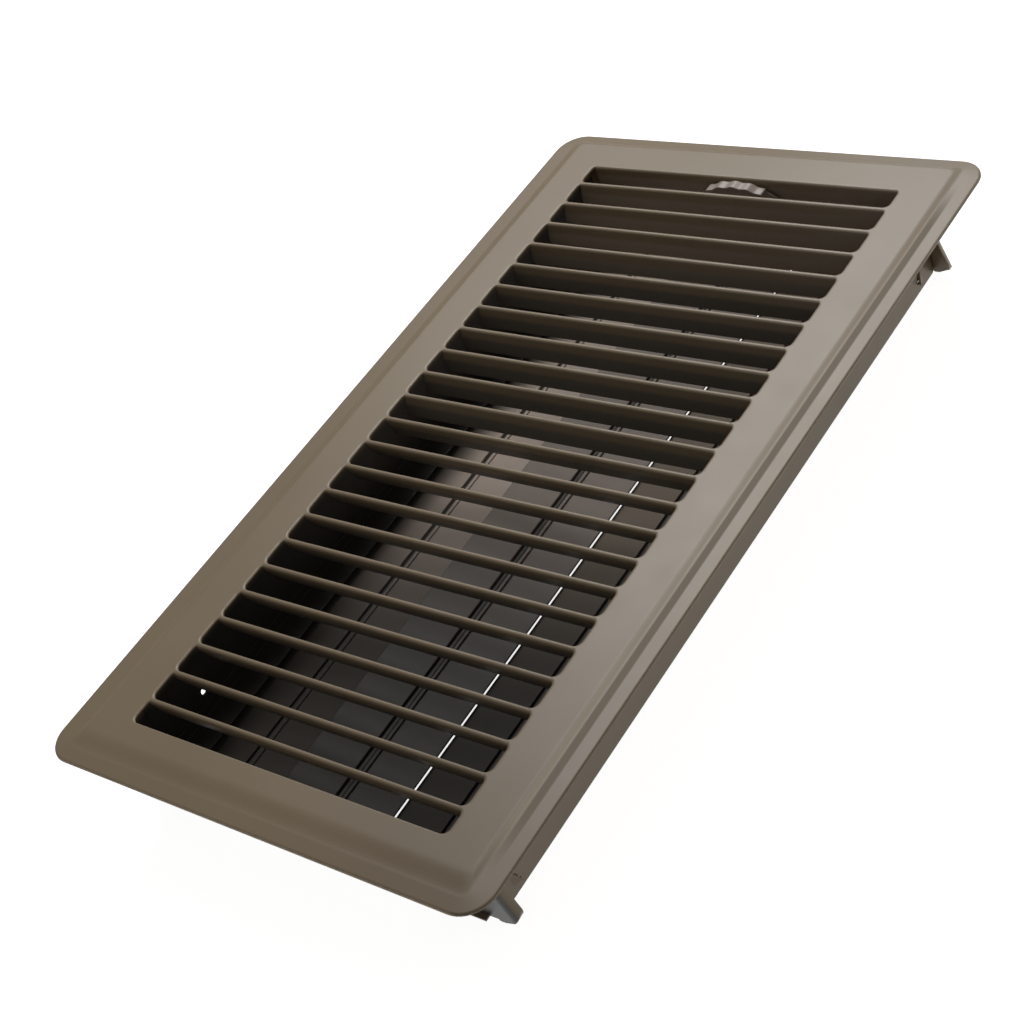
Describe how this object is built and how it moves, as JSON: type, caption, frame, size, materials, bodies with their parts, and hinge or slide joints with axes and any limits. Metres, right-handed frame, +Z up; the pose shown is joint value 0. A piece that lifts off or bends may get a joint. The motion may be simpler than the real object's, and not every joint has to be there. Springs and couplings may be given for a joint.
{
  "type": "floor register",
  "caption": "Steel floor register: stepped faceplate with two-way fins over a damper box whose opposed blades are set by a thumb wheel.",
  "frame": {"origin": "middle of the floor opening, on the floor under the faceplate's rim", "axes": "+Z up out of the floor, +Y along the length towards the thumb wheel, +X to the right"},
  "size_m": [0.1916, 0.3424, 0.0382],
  "materials": {
    "taupe_paint": "satin baked enamel",
    "blade_paint": "satin baked enamel",
    "zinc_steel": "zinc plated"
  },
  "bodies": {
    "frame": {"faceplate": "taupe_paint", "side_rail_left": "taupe_paint", "side_rail_right": "taupe_paint", "end_plate_far": "taupe_paint", "end_plate_near": "taupe_paint", "stop_strip_left": "taupe_paint", "stop_strip_right": "taupe_paint", "guide_rivets": "zinc_steel", "friction_spring": "zinc_steel"},
    "damper_centre": {"blade_centre": "blade_paint", "rod_centre": "zinc_steel", "rod_clip_centre": "zinc_steel", "thumb_wheel": "taupe_paint"},
    "damper_left": {"blade_left": "blade_paint", "rod_left": "zinc_steel", "rod_clip_left": "zinc_steel"},
    "damper_right": {"blade_right": "blade_paint", "rod_right": "zinc_steel", "rod_clip_right": "zinc_steel"},
    "link": {"link_bar": "zinc_steel"}
  },
  "joints": [
    {"name": "damper_centre_turn", "type": "hinge", "parent": "frame", "child": "damper_centre", "pos_m": [0, 0, -0.0282], "axis": [0, 1, 0], "range_deg": [-6, 52]},
    {"name": "damper_left_turn", "type": "hinge", "parent": "frame", "child": "damper_left", "pos_m": [-0.044, 0, -0.0299], "axis": [0, 1, 0], "range_deg": [-52, 6]},
    {"name": "damper_right_turn", "type": "hinge", "parent": "frame", "child": "damper_right", "pos_m": [0.044, 0, -0.0299], "axis": [0, 1, 0], "range_deg": [-52, 6]},
    {"name": "link_lift", "type": "slide", "parent": "frame", "child": "link", "axis": [0, 0, 1], "range_m": [-0.00052, 0.0044]}
  ],
  "couplings": [
    {"joint": "damper_left_turn", "follows": "damper_centre_turn", "ratio": -1},
    {"joint": "damper_right_turn", "follows": "damper_centre_turn", "ratio": -1},
    {"joint": "link_lift", "follows": "damper_centre_turn", "m_per_rad": 0.00483}
  ]
}
